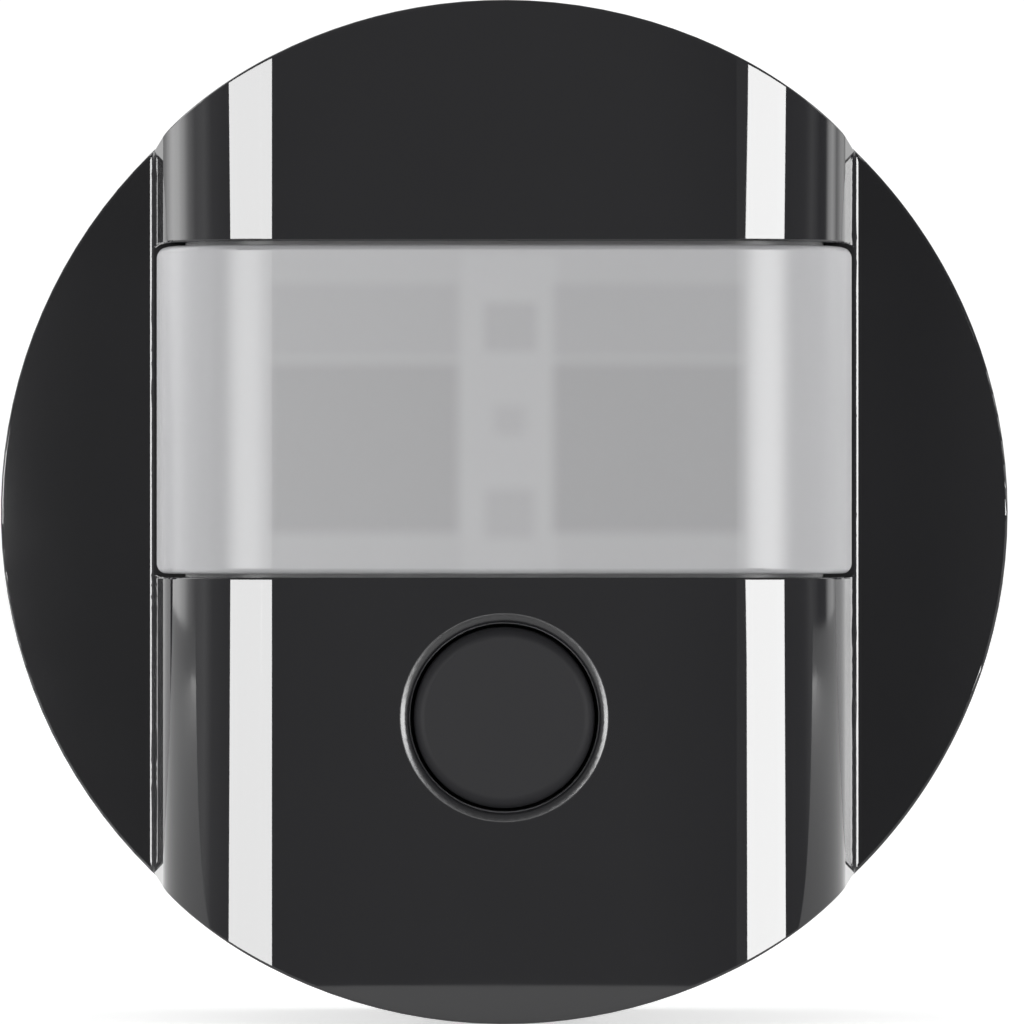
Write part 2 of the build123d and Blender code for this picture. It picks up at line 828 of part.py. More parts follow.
def terminal_plate(inset, z0, z1):
    return Pos(0, 0, z0) * extrude(terminal_outline(inset), z1 - z0)


def rear_housing():
    top_z = -neck_depth - housing_seam
    housing = rod(housing_d, housing_back_z, top_z)
    housing = fillet(housing.edges().group_by(Axis.Z)[0], housing_round)
    outer = housing_d / 2 + housing_rib_proud
    low_z = housing_back_z + 2 * housing_round
    for n in range(housing_rib_count):
        rib = block_at(0, outer - 1, housing_rib_w, 2, low_z, top_z)
        rib = chamfer(rib.faces().sort_by(Axis.Z)[0].edges().sort_by(Axis.Y)[-1], housing_rib_proud)
        housing += Rotation(0, 0, (n + 0.5) * 360 / housing_rib_count) * rib
    housing -= rod(housing_d - 2 * housing_wall, housing_inside_z, top_z + 1)
    lip_d = neck_d - 2 * neck_wall - 2 * housing_clearance
    housing += tube(lip_d, lip_d - 2 * housing_lip_wall, top_z - housing_wall, top_z + housing_lip)
    for side in sides.values():
        x = side * housing_screw_x
        housing += rod(column_d, housing_inside_z - 0.2, pillar_end_z - housing_seam, x, 0)
        housing -= rod(screw_head_d + 0.4, housing_back_z - 1, housing_screw_head_z, x, 0)
        housing -= rod(housing_screw_d + 2 * screw_hole_clearance, housing_back_z, pillar_end_z, x, 0)
        notch_d = pillar_shoulder_d + 2 * housing_clearance
        housing -= rod(notch_d, top_z - housing_wall, top_z + housing_lip + 1, x, 0)
    housing -= terminal_plate(terminal_ledge - terminal_gap, housing_back_z - 1, housing_inside_z + 1)
    for n in range(vent_count):
        x = (n - (vent_count - 1) / 2) * vent_pitch
        housing -= block_at(x, vent_y, vent_w, vent_length, housing_back_z - 1, housing_inside_z + 1)
    return housing


housing_screw_length = housing_screw_top_z - housing_screw_head_z
keep("rear_housing", rear_housing())
keep(
    "housing_screws",
    *[
        screw(housing_screw_d, housing_screw_head_z, housing_screw_length, -1, side * housing_screw_x, 0)
        for side in sides.values()
    ],
)


# Power board and what stands on it
def power_board():
    board = rod(power_board_d, power_board_z, power_top_z)
    hole_d = pillar_d + 2 * housing_clearance
    for side in sides.values():
        board -= rod(hole_d, power_board_z - 1, power_top_z + 1, side * housing_screw_x, 0)
    return board


def soft_block(x0, x1, y0, y1, depth, edge):
    """Moulded case that hangs from the power board."""
    case = block(x0, x1, y0, y1, power_board_z - depth, power_board_z)
    return fillet(case.edges().filter_by(Axis.Z), edge)


def can_capacitor(d, depth, x, y):
    """Standing capacitor with a crimped groove near the board."""
    can = rod(d, power_board_z - depth, power_board_z, x, y)
    can = chamfer(can.edges().group_by(Axis.Z)[0], 0.5)
    groove_z = power_board_z - 2.0
    return can - tube(d + 1, d - 0.6, groove_z - 0.6, groove_z, x, y)


def varistor():
    x, y, d, thickness = 8.0, -4.3, 9.0, 3.4
    middle_z = power_board_z - 1.2 - d / 2
    disc = Pos(x, y, middle_z) * Rotation(90, 0, 0) * Cylinder(d / 2, thickness)
    disc = chamfer(disc.edges(), 0.7)
    for lead_x in (x - 2.5, x + 2.5):
        disc += rod(0.7, middle_z, power_board_z, lead_x, y)
    return disc


def suppression_choke():
    x, y, d, depth = 1.5, 18.4, 7.0, 9.0
    choke = rod(d, power_board_z - depth, power_board_z, x, y)
    return choke - tube(d + 1, d - 1.4, power_board_z - depth + 1.2, power_board_z - 1.2, x, y)


def fuse_resistor():
    x, y, d, depth = 15.4, -5.2, 2.8, 9.0
    body = rod(d, power_board_z - depth, power_board_z - 0.8, x, y)
    body = chamfer(body.edges(), 0.4)
    return body + rod(0.7, power_board_z - 2, power_board_z, x, y)


keep("power_board", power_board())
keep("relay", soft_block(-15.9, -0.4, -4.5, 14.5, 15.3, 0.6))
keep("film_capacitor", soft_block(2.0, 15.0, 9.0, 14.5, 11.0, 0.5))
keep("smoothing_capacitors", can_capacitor(8.0, 12.0, 7.1, 3.4), can_capacitor(6.3, 11.0, 14.5, 4.4))
keep("varistor", varistor())
keep("suppression_choke", suppression_choke())
keep("fuse_resistor", fuse_resistor())
keep("bridge_rectifier", block_at(8.0, 8.0, 4.7, 4.0, power_top_z, power_top_z + 2.4))
keep("converter_chip", block_at(-4.0, 6.0, 5.0, 6.2, power_top_z, power_top_z + 1.6))


# Plug-in terminals
def wire_entry(x):
    """Round wire bore with a funnel at its mouth."""
    mouth_z = housing_back_z + wire_funnel_depth / 2
    funnel = Pos(x, terminal_y, mouth_z) * Cone(wire_funnel_d / 2, wire_bore_d / 2, wire_funnel_depth)
    return funnel + rod(wire_bore_d, housing_back_z, chamber_low_z + 0.5, x, terminal_y)


def chamber(side):
    """Hollow behind two wire entries, for their contacts and their spring."""
    box = block(
        side * chamber_x0,
        side * chamber_x1,
        chamber_low_y,
        contact_low_y + contact_t + wire_clearance,
        chamber_low_z,
        chamber_high_z,
    )
    return box & rod(2 * chamber_r, chamber_low_z, chamber_high_z)


def contact_slot(x, gap):
    low_y = contact_low_y - gap
    high_y = contact_low_y + contact_t + gap
    half = contact_w / 2 + gap
    return block(x - half, x + half, low_y, high_y, chamber_low_z + 0.5 - gap, power_board_z)


def terminal_block():
    case = terminal_plate(0, housing_inside_z + housing_seam, terminal_top_z)
    case += terminal_plate(terminal_ledge, housing_back_z, housing_inside_z + 1)
    for side in sides.values():
        case -= chamber(side)
        width = key_w + 2 * key_clearance
        height = key_h + 2 * key_clearance
        x = side * key_x
        case -= block_at(x, key_y, width, height, housing_back_z - 1, chamber_low_z + 0.5)
    for x in terminal_x:
        case -= wire_entry(x)
        case -= contact_slot(x, wire_clearance)
    return case


def clamp_spring(side):
    """Folded leaf with two tongues that press two wires against their contacts."""
    root_y = chamber_low_y + 0.5
    knee_z = key_flange_z + key_flange_t + 0.05 + leaf_t / 2
    tip_y = contact_low_y - 0.6
    line = Polyline(
        (root_y, chamber_high_z - 0.05),
        (root_y, knee_z + 0.8),
        (root_y + 0.8, knee_z),
        (key_y + 0.6, knee_z),
        (tip_y, knee_z + 3.6),
    )
    leaf = extrude(Plane.YZ.offset(leaf_x0) * trace(line, leaf_t), leaf_x1 - leaf_x0, dir=(1, 0, 0))
    slit_x = (leaf_x0 + leaf_x1) / 2
    x0 = slit_x - leaf_slit / 2
    x1 = slit_x + leaf_slit / 2
    leaf -= block(x0, x1, key_y + 1.5, tip_y + 1, knee_z - 1, chamber_high_z)
    return leaf if side > 0 else mirror(leaf, Plane.YZ)


def release_key(side):
    x = side * key_x
    key = block_at(x, key_y, key_w, key_h, housing_back_z - key_proud, key_flange_z + key_flange_t)
    flange = block_at(
        x, key_y, key_w + 2 * key_flange, key_h, key_flange_z, key_flange_z + key_flange_t
    )
    key = fillet(key.edges().group_by(Axis.Z)[0], 0.3)
    grip = block_at(x, key_y, key_w - 1.6, 0.6, housing_back_z - key_proud - 1, housing_back_z)
    return key + flange - grip


keep("terminal_block", terminal_block())
keep("terminal_contacts", *[contact_slot(x, 0) for x in terminal_x])
for side_name, side in sides.items():
    keep(f"clamp_spring_{side_name}", clamp_spring(side))
    keep(f"release_key_{side_name}", release_key(side))


def write_parts():
    os.makedirs("parts", exist_ok=True)
    for name, pieces in parts.items():
        solids = [solid for piece in pieces for solid in piece.solids()]
        shape = solids[0] if len(solids) == 1 else Compound(solids)
        export_step(shape, f"parts/{name}.step")
    print(len(parts), "nodes")


write_parts()
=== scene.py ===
# %% [markdown]
# # A motion sensor light switch, seen from the front
# The real object is a round wall switch head: a glossy black moulding with a raised band
# across it. A milky lens wraps over the band, and a round button sits below the lens. Behind
# the face is a pot that goes into a wall box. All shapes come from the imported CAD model, so
# this lesson is about finishes and light: a piano black plastic shows hardly any colour of its
# own, only what it mirrors.

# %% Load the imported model
from math import cos, pi, radians, sin, tan

import bpy
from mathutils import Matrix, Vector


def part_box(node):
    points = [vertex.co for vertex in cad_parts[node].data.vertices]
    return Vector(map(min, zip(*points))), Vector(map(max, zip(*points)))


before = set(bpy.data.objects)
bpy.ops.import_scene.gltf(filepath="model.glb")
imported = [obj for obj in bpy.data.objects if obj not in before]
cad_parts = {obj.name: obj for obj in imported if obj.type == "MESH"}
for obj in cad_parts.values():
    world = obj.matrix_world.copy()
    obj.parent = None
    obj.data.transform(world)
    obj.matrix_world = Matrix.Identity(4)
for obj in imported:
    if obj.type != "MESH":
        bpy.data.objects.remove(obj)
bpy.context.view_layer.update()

MM = 0.001
print(len(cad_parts), "nodes in the frame")

# %% [markdown]
# ## Colours and nodes
# Colours are written as the hex values that a colour picker shows, and Blender's sockets want
# them linear, so one function turns them. A second small function adds a node and links it,
# which keeps each finish as short as a recipe.

# %% Helpers for colours and nodes
def linear(hex_colour):
    """Turn an sRGB hex colour to the linear RGBA that sockets take."""
    channels = [int(hex_colour[i : i + 2], 16) / 255 for i in (1, 3, 5)]
    return [c / 12.92 if c <= 0.04045 else ((c + 0.055) / 1.055) ** 2.4 for c in channels] + [1.0]


def add_node(tree, kind, settings=None, inputs=None):
    """Add a node, set its settings, and set or link its inputs."""
    node = tree.nodes.new(kind)
    for name, value in (settings or {}).items():
        setattr(node, name, value)
    for name, value in (inputs or {}).items():
        if isinstance(value, bpy.types.NodeSocket):
            tree.links.new(value, node.inputs[name])
        else:
            node.inputs[name].default_value = value
    return node


def per_mm(size):
    """Scale of a pattern on Object coordinates whose features are this many millimetres wide."""
    return 1 / (size * MM)


def start_material(name):
    """A new material with its shader and the coordinates that its patterns follow."""
    material = bpy.data.materials.new(name)
    material.use_nodes = True
    tree = material.node_tree
    shader = tree.nodes["Principled BSDF"]
    place = add_node(tree, "ShaderNodeTexCoord").outputs["Object"]
    return material, tree, shader, place


def finish_shader(tree, shader, values, links):
    """Set plain values on the shader and link what varies over the surface."""
    for name, value in values.items():
        shader.inputs[name].default_value = value
    for name, socket in links.items():
        tree.links.new(socket, shader.inputs[name])


# %% [markdown]
# ## Moulded plastics
# Nearly every plastic here is injection moulded. A polished tool gives a mirror gloss with a
# faint waviness, as the skin of the plastic shrinks unevenly. An eroded tool gives a fine even
# grain that spreads the light. One recipe serves both: clouds of a slightly different tone, a
# grain in the bump, and a roughness that drifts a little, since no moulding is equally glossy
# all over.

# %% A recipe for moulded plastic
def moulded_plastic(
    name, tone, second_tone, roughness, grain_mm, depth_mm, cloud_mm=9.0, **values
):
    """Plastic out of a tool whose polish or erosion leaves a grain of some size and depth."""
    material, tree, shader, place = start_material(name)
    clouds = add_node(
        tree,
        "ShaderNodeTexNoise",
        {},
        {"Vector": place, "Scale": per_mm(cloud_mm), "Detail": 3.0},
    ).outputs["Fac"]
    colour = add_node(
        tree,
        "ShaderNodeMix",
        {"data_type": "RGBA"},
        {"Factor": clouds, 6: linear(tone), 7: linear(second_tone)},
    ).outputs[2]
    low, high = roughness
    polish = add_node(
        tree,
        "ShaderNodeMapRange",
        {},
        {"Value": clouds, "From Min": 0.3, "From Max": 0.7, "To Min": low, "To Max": high},
    ).outputs["Result"]
    grain = add_node(
        tree,
        "ShaderNodeTexNoise",
        {},
        {"Vector": place, "Scale": per_mm(grain_mm), "Detail": 2.0},
    ).outputs["Fac"]
    bump = add_node(
        tree, "ShaderNodeBump", {}, {"Height": grain, "Distance": depth_mm * MM}
    ).outputs["Normal"]
    links = {"Base Color": colour, "Roughness": polish, "Normal": bump}
    finish_shader(tree, shader, values, links)
    return material


# %% [markdown]
# ## The black cover
# The cover is a hard glossy thermoplastic, moulded in a polished tool. Its own black is very
# deep, and what the eye reads as its colour is the room. The waviness is shallow and wide, a
# few ten-thousandths of a millimetre over several millimetres: a mirrored lamp stays straight,
# and is just not ruled.

# %% Finish of the cover
cover_black = moulded_plastic(
    "polished_black_abs", "#1d1d1f", "#202022", (0.02, 0.035), 7.0, 0.0004, IOR=1.52
)
print("made", cover_black.name)

# %% [markdown]
# ### The mouth of the button's bore
# The core pin that forms the bore can't be polished as well as the outer face. The rounded
# mouth is duller, so it shows the lamps as two grey crescents rather than as bright lines.
# Inside the bore the wall is painted a light grey. That is painted light: it stands in for the
# light that the deep, narrow gap between button and bore would hold, and keeps the gap from
# looking like an ink line. The distance from the button's axis tells the shader where mouth and
# wall are.

# %% How far a point is from the button's axis
low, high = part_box("push_button")
button_x = (low.x + high.x) / 2
button_z = (low.z + high.z) / 2
print("button's axis (mm):", round(button_x / MM, 2), round(button_z / MM, 2))


def near_axis(tree, limit, blur):
    """1 nearer to the button's axis than this many millimetres, and 0 farther out."""
    place = add_node(tree, "ShaderNodeTexCoord").outputs["Object"]
    across = add_node(
        tree,
        "ShaderNodeMapping",
        {},
        {"Vector": place, "Location": (-button_x, 0.0, -button_z), "Scale": (1.0, 0.0, 1.0)},
    ).outputs["Vector"]
    radius = add_node(
        tree, "ShaderNodeVectorMath", {"operation": "LENGTH"}, {0: across}
    ).outputs["Value"]
    return add_node(
        tree,
        "ShaderNodeMapRange",
        {"interpolation_type": "SMOOTHSTEP"},
        {"Value": radius, "From Min": (limit + blur) * MM, "From Max": (limit - blur) * MM},
    ).outputs["Result"]


def change_near_axis(material, name, limit, blur, value):
    """Give a shader's input another value within a distance from the button's axis."""
    tree = material.node_tree
    target = tree.nodes["Principled BSDF"].inputs[name]
    kind, usual_input, new_input, output = (
        ("RGBA", 6, 7, 2) if name == "Base Color" else ("FLOAT", 2, 3, 0)
    )
    mixed = add_node(
        tree,
        "ShaderNodeMix",
        {"data_type": kind},
        {
            "Factor": near_axis(tree, limit, blur),
            usual_input: target.links[0].from_socket,
            new_input: value,
        },
    ).outputs[output]
    tree.links.new(mixed, target)


# %% Duller mouth and painted light on the bore's wall
MOUTH_RADIUS = 6.05  # millimetres, just outside the rounded mouth
MOUTH_ROUGHNESS = 0.26
WALL_RADIUS = 5.5  # millimetres, just outside the bore's wall
# Painted light: the bore's wall gets a light grey, so the shaded gap round the button doesn't go
# black.
BORE_PAINTED_LIGHT_GREY = linear("#77777a")
change_near_axis(cover_black, "Roughness", MOUTH_RADIUS, 0.06, MOUTH_ROUGHNESS)
change_near_axis(cover_black, "Base Color", WALL_RADIUS, 0.03, BORE_PAINTED_LIGHT_GREY)
print("mouth and wall (mm from the axis):", MOUTH_RADIUS, WALL_RADIUS)

# %% [markdown]
# ## The button
# The button is black too, but its tool was eroded to a fine satin. That takes away the lamps'
# reflection, so its top looks even, and a shade lighter than the gloss round it.

# %% Finish of the button
button_black = moulded_plastic(
    "satin_black_abs",
    "#222224",
    "#262628",
    (0.42, 0.5),
    0.12,
    0.0008,
    **{"Specular IOR Level": 0.06},
)
print("made", button_black.name)

# %% [markdown]
# ## Mouldings inside and behind
# The mask behind the lens is a clean white, so that the lens looks light. The carrier under it
# is matt black, which keeps stray light from the detectors. The chassis is tough
# polycarbonate, and the pot and the terminals are nylon with glass fibre, whose surface is
# duller and a little cloudy.

# %% Finishes of the inner and rear mouldings
# A clean matt white, which the lens needs behind it
mask_white = moulded_plastic("white_abs", "#dededb", "#e6e6e3", (0.4, 0.5), 0.15, 0.002)
# A dull black that swallows stray light
carrier_black = moulded_plastic("matt_black_abs", "#2b2b2d", "#303032", (0.5, 0.62), 0.18, 0.004)
# A cool light grey with a soft sheen
chassis_grey = moulded_plastic(
    "grey_polycarbonate", "#a9abac", "#b3b5b5", (0.34, 0.46), 0.22, 0.004, IOR=1.58
)
# A darker grey, cloudy and a little rough from the glass fibre at its skin
housing_grey = moulded_plastic(
    "glass_filled_grey_nylon", "#858889", "#949797", (0.42, 0.56), 0.3, 0.012, 5.0, IOR=1.53
)
# A pale grey that sets the terminals off from the pot
terminal_pale = moulded_plastic(
    "pale_grey_nylon", "#c0c3c2", "#cbcdcb", (0.38, 0.5), 0.2, 0.006, 5.0, IOR=1.53
)
# A strong signal colour for what a finger has to find
key_orange = moulded_plastic(
    "orange_nylon", "#c95a1f", "#d46a2a", (0.34, 0.46), 0.18, 0.003, IOR=1.53
)
print("made", [m.name for m in (mask_white, carrier_black, chassis_grey, housing_grey)])
print("made", [m.name for m in (terminal_pale, key_orange)])

# %% [markdown]
# ## Electronic parts
# The electronic parts have the colours that their makers give them. Epoxy cases are dull black
# or glossy where a clear lacquer covers them, capacitors are boxed in yellow or shrunk into a
# dark sleeve, and ferrite and ceramic are fired, so they look dry.

# %% Finishes of the electronic parts
# Creamy white with a soft sheen
dial_white = moulded_plastic(
    "white_nylon", "#d8d8d3", "#e4e4df", (0.34, 0.46), 0.1, 0.002, IOR=1.53
)
# An even blue, a little glossier than the dial in it
dial_blue = moulded_plastic(
    "blue_polyester", "#2a58a0", "#3264ac", (0.3, 0.42), 0.1, 0.002, IOR=1.55
)
# Dull black with a fine sparkle from its filler
chip_black = moulded_plastic(
    "epoxy_chip_black", "#232324", "#2d2d2d", (0.45, 0.6), 0.08, 0.003, 1.5
)
# A smoother, shinier black
relay_black = moulded_plastic(
    "relay_case_black", "#1c1c1e", "#242426", (0.22, 0.3), 0.2, 0.002, IOR=1.56
)
# Warm yellow with a clear shine
film_yellow = moulded_plastic(
    "capacitor_box_yellow", "#c9a23a", "#d2ac46", (0.26, 0.36), 0.15, 0.002, IOR=1.54
)
# Nearly black blue, glossy, and slightly uneven where it shrank
sleeve_dark = moulded_plastic(
    "shrunk_sleeve_dark_blue", "#1d2740", "#232e49", (0.2, 0.3), 2.0, 0.01, 4.0, IOR=1.54
)
# A wet-looking blue with runs from dipping
varistor_blue = moulded_plastic(
    "dipped_lacquer_blue", "#2b5c9e", "#356aac", (0.16, 0.26), 1.2, 0.02, 2.5, IOR=1.55
)
# Dry dark grey with a grainy skin
ferrite_grey = moulded_plastic(
    "ferrite_grey", "#3e4043", "#4b4d50", (0.5, 0.66), 0.1, 0.008, 1.2
)
# Pale and chalky
part_pale = moulded_plastic(
    "pale_ceramic", "#cfc6ae", "#dcd4bd", (0.34, 0.48), 0.15, 0.003, 1.5, IOR=1.6
)
# A dark mirror with a violet cast from its coating
filter_dark = moulded_plastic(
    "coated_filter_window", "#37303a", "#453c45", (0.08, 0.14), 1.5, 0.001, 2.0, IOR=1.9
)
print(len(bpy.data.materials), "materials so far")

# %% [markdown]
# ## The milky lens
# The lens is a thin polyethylene tray, milky so that nobody sees inside, and smooth outside.
# In the real lens some light gets through, so what lies behind shows as faint tones with soft
# edges: the white mask with its bar in the middle, the three holes of that bar, and the two rows
# of openings beside it. Here these tones are painted light and shade in the lens's colour:
# painted shade over the openings and holes, and painted light over the bar. Each zone is laid
# over one of the mask's openings, with an edge as soft as the plastic makes it.

# %% Painted light and shade where the mask shows through the lens
painted_shading_zones = [
    # middle x, middle z, half width, half height, softness (all mm), and the painted change of
    # tone: below zero is painted shade, above is painted light
    (-8.1, 3.7, 5.4, 4.9, 0.55, -0.23),
    (8.3, 3.7, 5.5, 4.9, 0.55, -0.23),
    (-8.1, 11.1, 5.4, 2.1, 0.5, -0.12),
    (8.3, 11.1, 5.5, 2.1, 0.5, -0.12),
    (0.3, 5.6, 2.75, 9.4, 0.5, 0.07),
    (0.35, 10.7, 1.5, 1.4, 0.5, -0.17),
    (0.3, 5.3, 0.9, 0.85, 0.6, -0.12),
    (0.3, -0.1, 1.4, 1.4, 0.6, -0.15),
]
# The zones are painted light and shade in the lens's colour, not light passing through it.
print(len(painted_shading_zones), "zones show through the lens")


def painted_window_shading(tree, x, z, zone):
    """The zone's painted shade (painted light for the bar) inside its rectangle, which falls to
    nothing over its soft edge.
    """
    middle_x, middle_z, half_width, half_height, softness, tone = zone
    sides = []
    for along, middle, half in ((x, middle_x, half_width), (z, middle_z, half_height)):
        offset = add_node(
            tree, "ShaderNodeMath", {"operation": "SUBTRACT"}, {0: along, 1: middle * MM}
        ).outputs[0]
        distance = add_node(
            tree, "ShaderNodeMath", {"operation": "ABSOLUTE"}, {0: offset}
        ).outputs[0]
        edges = {
            "Value": distance,
            "From Min": (half + softness) * MM,
            "From Max": (half - softness) * MM,
        }
        sides.append(
            add_node(
                tree, "ShaderNodeMapRange", {"interpolation_type": "SMOOTHSTEP"}, edges
            ).outputs["Result"]
        )
    both = add_node(
        tree, "ShaderNodeMath", {"operation": "MULTIPLY"}, {0: sides[0], 1: sides[1]}
    ).outputs[0]
    return add_node(
        tree, "ShaderNodeMath", {"operation": "MULTIPLY"}, {0: both, 1: tone}
    ).outputs[0]


# %% Finish of the lens
LENS_GREY = linear("#959597")[:3]


def milky_lens():
    """Milky polyethylene with the mask's light and shade painted into its colour."""
    material, tree, shader, place = start_material("milky_polyethylene")
    axes = add_node(tree, "ShaderNodeSeparateXYZ", {}, {0: place})
    # Sum of the zones' painted light and shade; zero where the mask lies right behind the lens.
    tone = 0.0  # where the mask lies right behind the lens
    for zone in painted_shading_zones:
        window = painted_window_shading(tree, axes.outputs["X"], axes.outputs["Z"], zone)
        tone = add_node(
            tree, "ShaderNodeMath", {"operation": "ADD"}, {0: window, 1: tone}
        ).outputs[0]
    clouds = add_node(
        tree, "ShaderNodeTexNoise", {}, {"Vector": place, "Scale": per_mm(6.0), "Detail": 2.0}
    ).outputs["Fac"]
    drift = add_node(
        tree, "ShaderNodeMath", {"operation": "MULTIPLY_ADD"}, {0: clouds, 1: 0.02, 2: 0.99}
    ).outputs[0]
    factor = add_node(tree, "ShaderNodeMath", {"operation": "ADD"}, {0: drift, 1: tone}).outputs[0]
    colour = add_node(
        tree,
        "ShaderNodeVectorMath",
        {"operation": "SCALE"},
        {0: LENS_GREY, "Scale": factor},
    ).outputs[0]
    grain = add_node(
        tree, "ShaderNodeTexNoise", {}, {"Vector": place, "Scale": per_mm(0.25), "Detail": 1.0}
    ).outputs["Fac"]
    bump = add_node(
        tree, "ShaderNodeBump", {}, {"Height": grain, "Distance": 0.001 * MM}
    ).outputs["Normal"]
    values = {
        "Roughness": 0.36,
        "IOR": 1.51,
        "Specular IOR Level": 0.45,
        "Subsurface Weight": 0.25,
        "Subsurface Radius": (1.0, 1.0, 1.0),
        "Subsurface Scale": 0.5 * MM,
    }
    finish_shader(tree, shader, values, {"Base Color": colour, "Normal": bump})
    return material


lens_milky = milky_lens()
print("made", lens_milky.name)

# %% [markdown]
# ## Metals
# Spring steel comes as drawn wire and rolled strip, with fine lines along the draw. The screws
# are zinc plated, which is bluish and a little blotchy. The detector cans are nickel, the
# contacts are stamped brass. One recipe stretches a noise along one direction for the lines,
# and lets a second, wider noise dull the plating in places.

# %% A recipe for metal
def worked_metal(name, tone, dull_tone, roughness, stretch, line_mm=0.08, line_depth_mm=0.002):
    """Metal with drawing or rolling lines along one axis, and duller patches."""
    material, tree, shader, place = start_material(name)
    along = add_node(
        tree, "ShaderNodeMapping", {}, {"Vector": place, "Scale": stretch}
    ).outputs["Vector"]
    lines = add_node(
        tree, "ShaderNodeTexNoise", {}, {"Vector": along, "Scale": per_mm(line_mm), "Detail": 3.0}
    ).outputs["Fac"]
    patches = add_node(
        tree, "ShaderNodeTexNoise", {}, {"Vector": place, "Scale": per_mm(1.8), "Detail": 4.0}
    ).outputs["Fac"]
    colour = add_node(
        tree,
        "ShaderNodeMix",
        {"data_type": "RGBA"},
        {"Factor": patches, 6: linear(tone), 7: linear(dull_tone)},
    ).outputs[2]
    low, high = roughness
    polish = add_node(
        tree,
        "ShaderNodeMapRange",
        {},
        {"Value": patches, "From Min": 0.3, "From Max": 0.7, "To Min": low, "To Max": high},
    ).outputs["Result"]
    bump = add_node(
        tree, "ShaderNodeBump", {}, {"Height": lines, "Distance": line_depth_mm * MM}
    ).outputs["Normal"]
    links = {"Base Color": colour, "Roughness": polish, "Normal": bump}
    finish_shader(tree, shader, {"Metallic": 1.0}, links)
    return material


# %% Finishes of the metal pieces
# Neutral grey with fine lines along the draw
spring_steel = worked_metal(
    "rolled_spring_steel", "#b9bbbd", "#9da0a3", (0.24, 0.36), (1.0, 0.12, 1.0)
)
# Bluish and blotchy, with no direction
zinc_steel = worked_metal(
    "zinc_plated_steel", "#c2c6ca", "#a3a8ad", (0.28, 0.42), (1.0, 1.0, 1.0), 0.15
)
# Warm grey and the brightest of them
nickel_can = worked_metal(
    "nickel_plated_can", "#cdc8bd", "#b8b3a8", (0.18, 0.28), (1.0, 0.3, 1.0)
)
# Yellow, with the lines of the rolled strip
contact_brass = worked_metal(
    "stamped_brass", "#d9b15c", "#bd9445", (0.24, 0.36), (1.0, 0.2, 1.0)
)
print("made", [m.name for m in (spring_steel, zinc_steel, nickel_can, contact_brass)])

# %% [markdown]
# ## Circuit boards
# A board is glass fibre laminate under a green lacquer. Copper tracks run below the lacquer,
# mostly straight and at right angles, and stand up a few hundredths of a millimetre. The
# joints of a brick pattern run just so, which makes them a good stand-in: their lines are the
# tracks.

# %% Finish of the boards
def circuit_board():
    """Green lacquered laminate with tracks under the lacquer."""
    material, tree, shader, place = start_material("green_lacquered_laminate")
    flat = add_node(
        tree, "ShaderNodeMapping", {}, {"Vector": place, "Rotation": (-pi / 2, 0.0, 0.0)}
    ).outputs["Vector"]
    bricks = {
        "Vector": flat,
        "Scale": 1.0,
        "Brick Width": 3.4 * MM,
        "Row Height": 1.3 * MM,
        "Mortar Size": 0.14 * MM,
        "Mortar Smooth": 0.3,
    }
    tracks = add_node(
        tree, "ShaderNodeTexBrick", {"offset": 0.37, "squash": 0.6, "squash_frequency": 3}, bricks
    ).outputs["Fac"]
    colour = add_node(
        tree,
        "ShaderNodeMix",
        {"data_type": "RGBA"},
        {"Factor": tracks, 6: linear("#15572f"), 7: linear("#2b7a45")},
    ).outputs[2]
    weave = add_node(
        tree, "ShaderNodeTexNoise", {}, {"Vector": flat, "Scale": per_mm(0.5), "Detail": 2.0}
    ).outputs["Fac"]
    height = add_node(
        tree, "ShaderNodeMath", {"operation": "MULTIPLY_ADD"}, {0: weave, 1: 0.2, 2: tracks}
    ).outputs[0]
    bump = add_node(
        tree, "ShaderNodeBump", {}, {"Height": height, "Distance": 0.03 * MM}
    ).outputs["Normal"]
    polish = add_node(
        tree,
        "ShaderNodeMapRange",
        {},
        {"Value": weave, "From Min": 0.3, "From Max": 0.7, "To Min": 0.2, "To Max": 0.32},
    ).outputs["Result"]
    links = {"Base Color": colour, "Roughness": polish, "Normal": bump}
    finish_shader(tree, shader, {"IOR": 1.55}, links)
    return material


board_green = circuit_board()
print("made", board_green.name)

# %% [markdown]
# ## The light guide
# The guide is clear acrylic with a frosted look from its moulding. It passes light, so its
# shader transmits, with a slight haze that varies.

# %% Finish of the light guide
guide_clear = moulded_plastic(
    "clear_acrylic",
    "#eef3f5",
    "#e6edf0",
    (0.08, 0.16),
    1.0,
    0.001,
    3.0,
    **{"Transmission Weight": 0.9, "IOR": 1.49},
)
print("made", guide_clear.name)

# %% [markdown]
# ## Dressing the pieces
# Each node of the model carries one slot, and gets the finish of the real piece there. Its
# mesh stays as it was made.

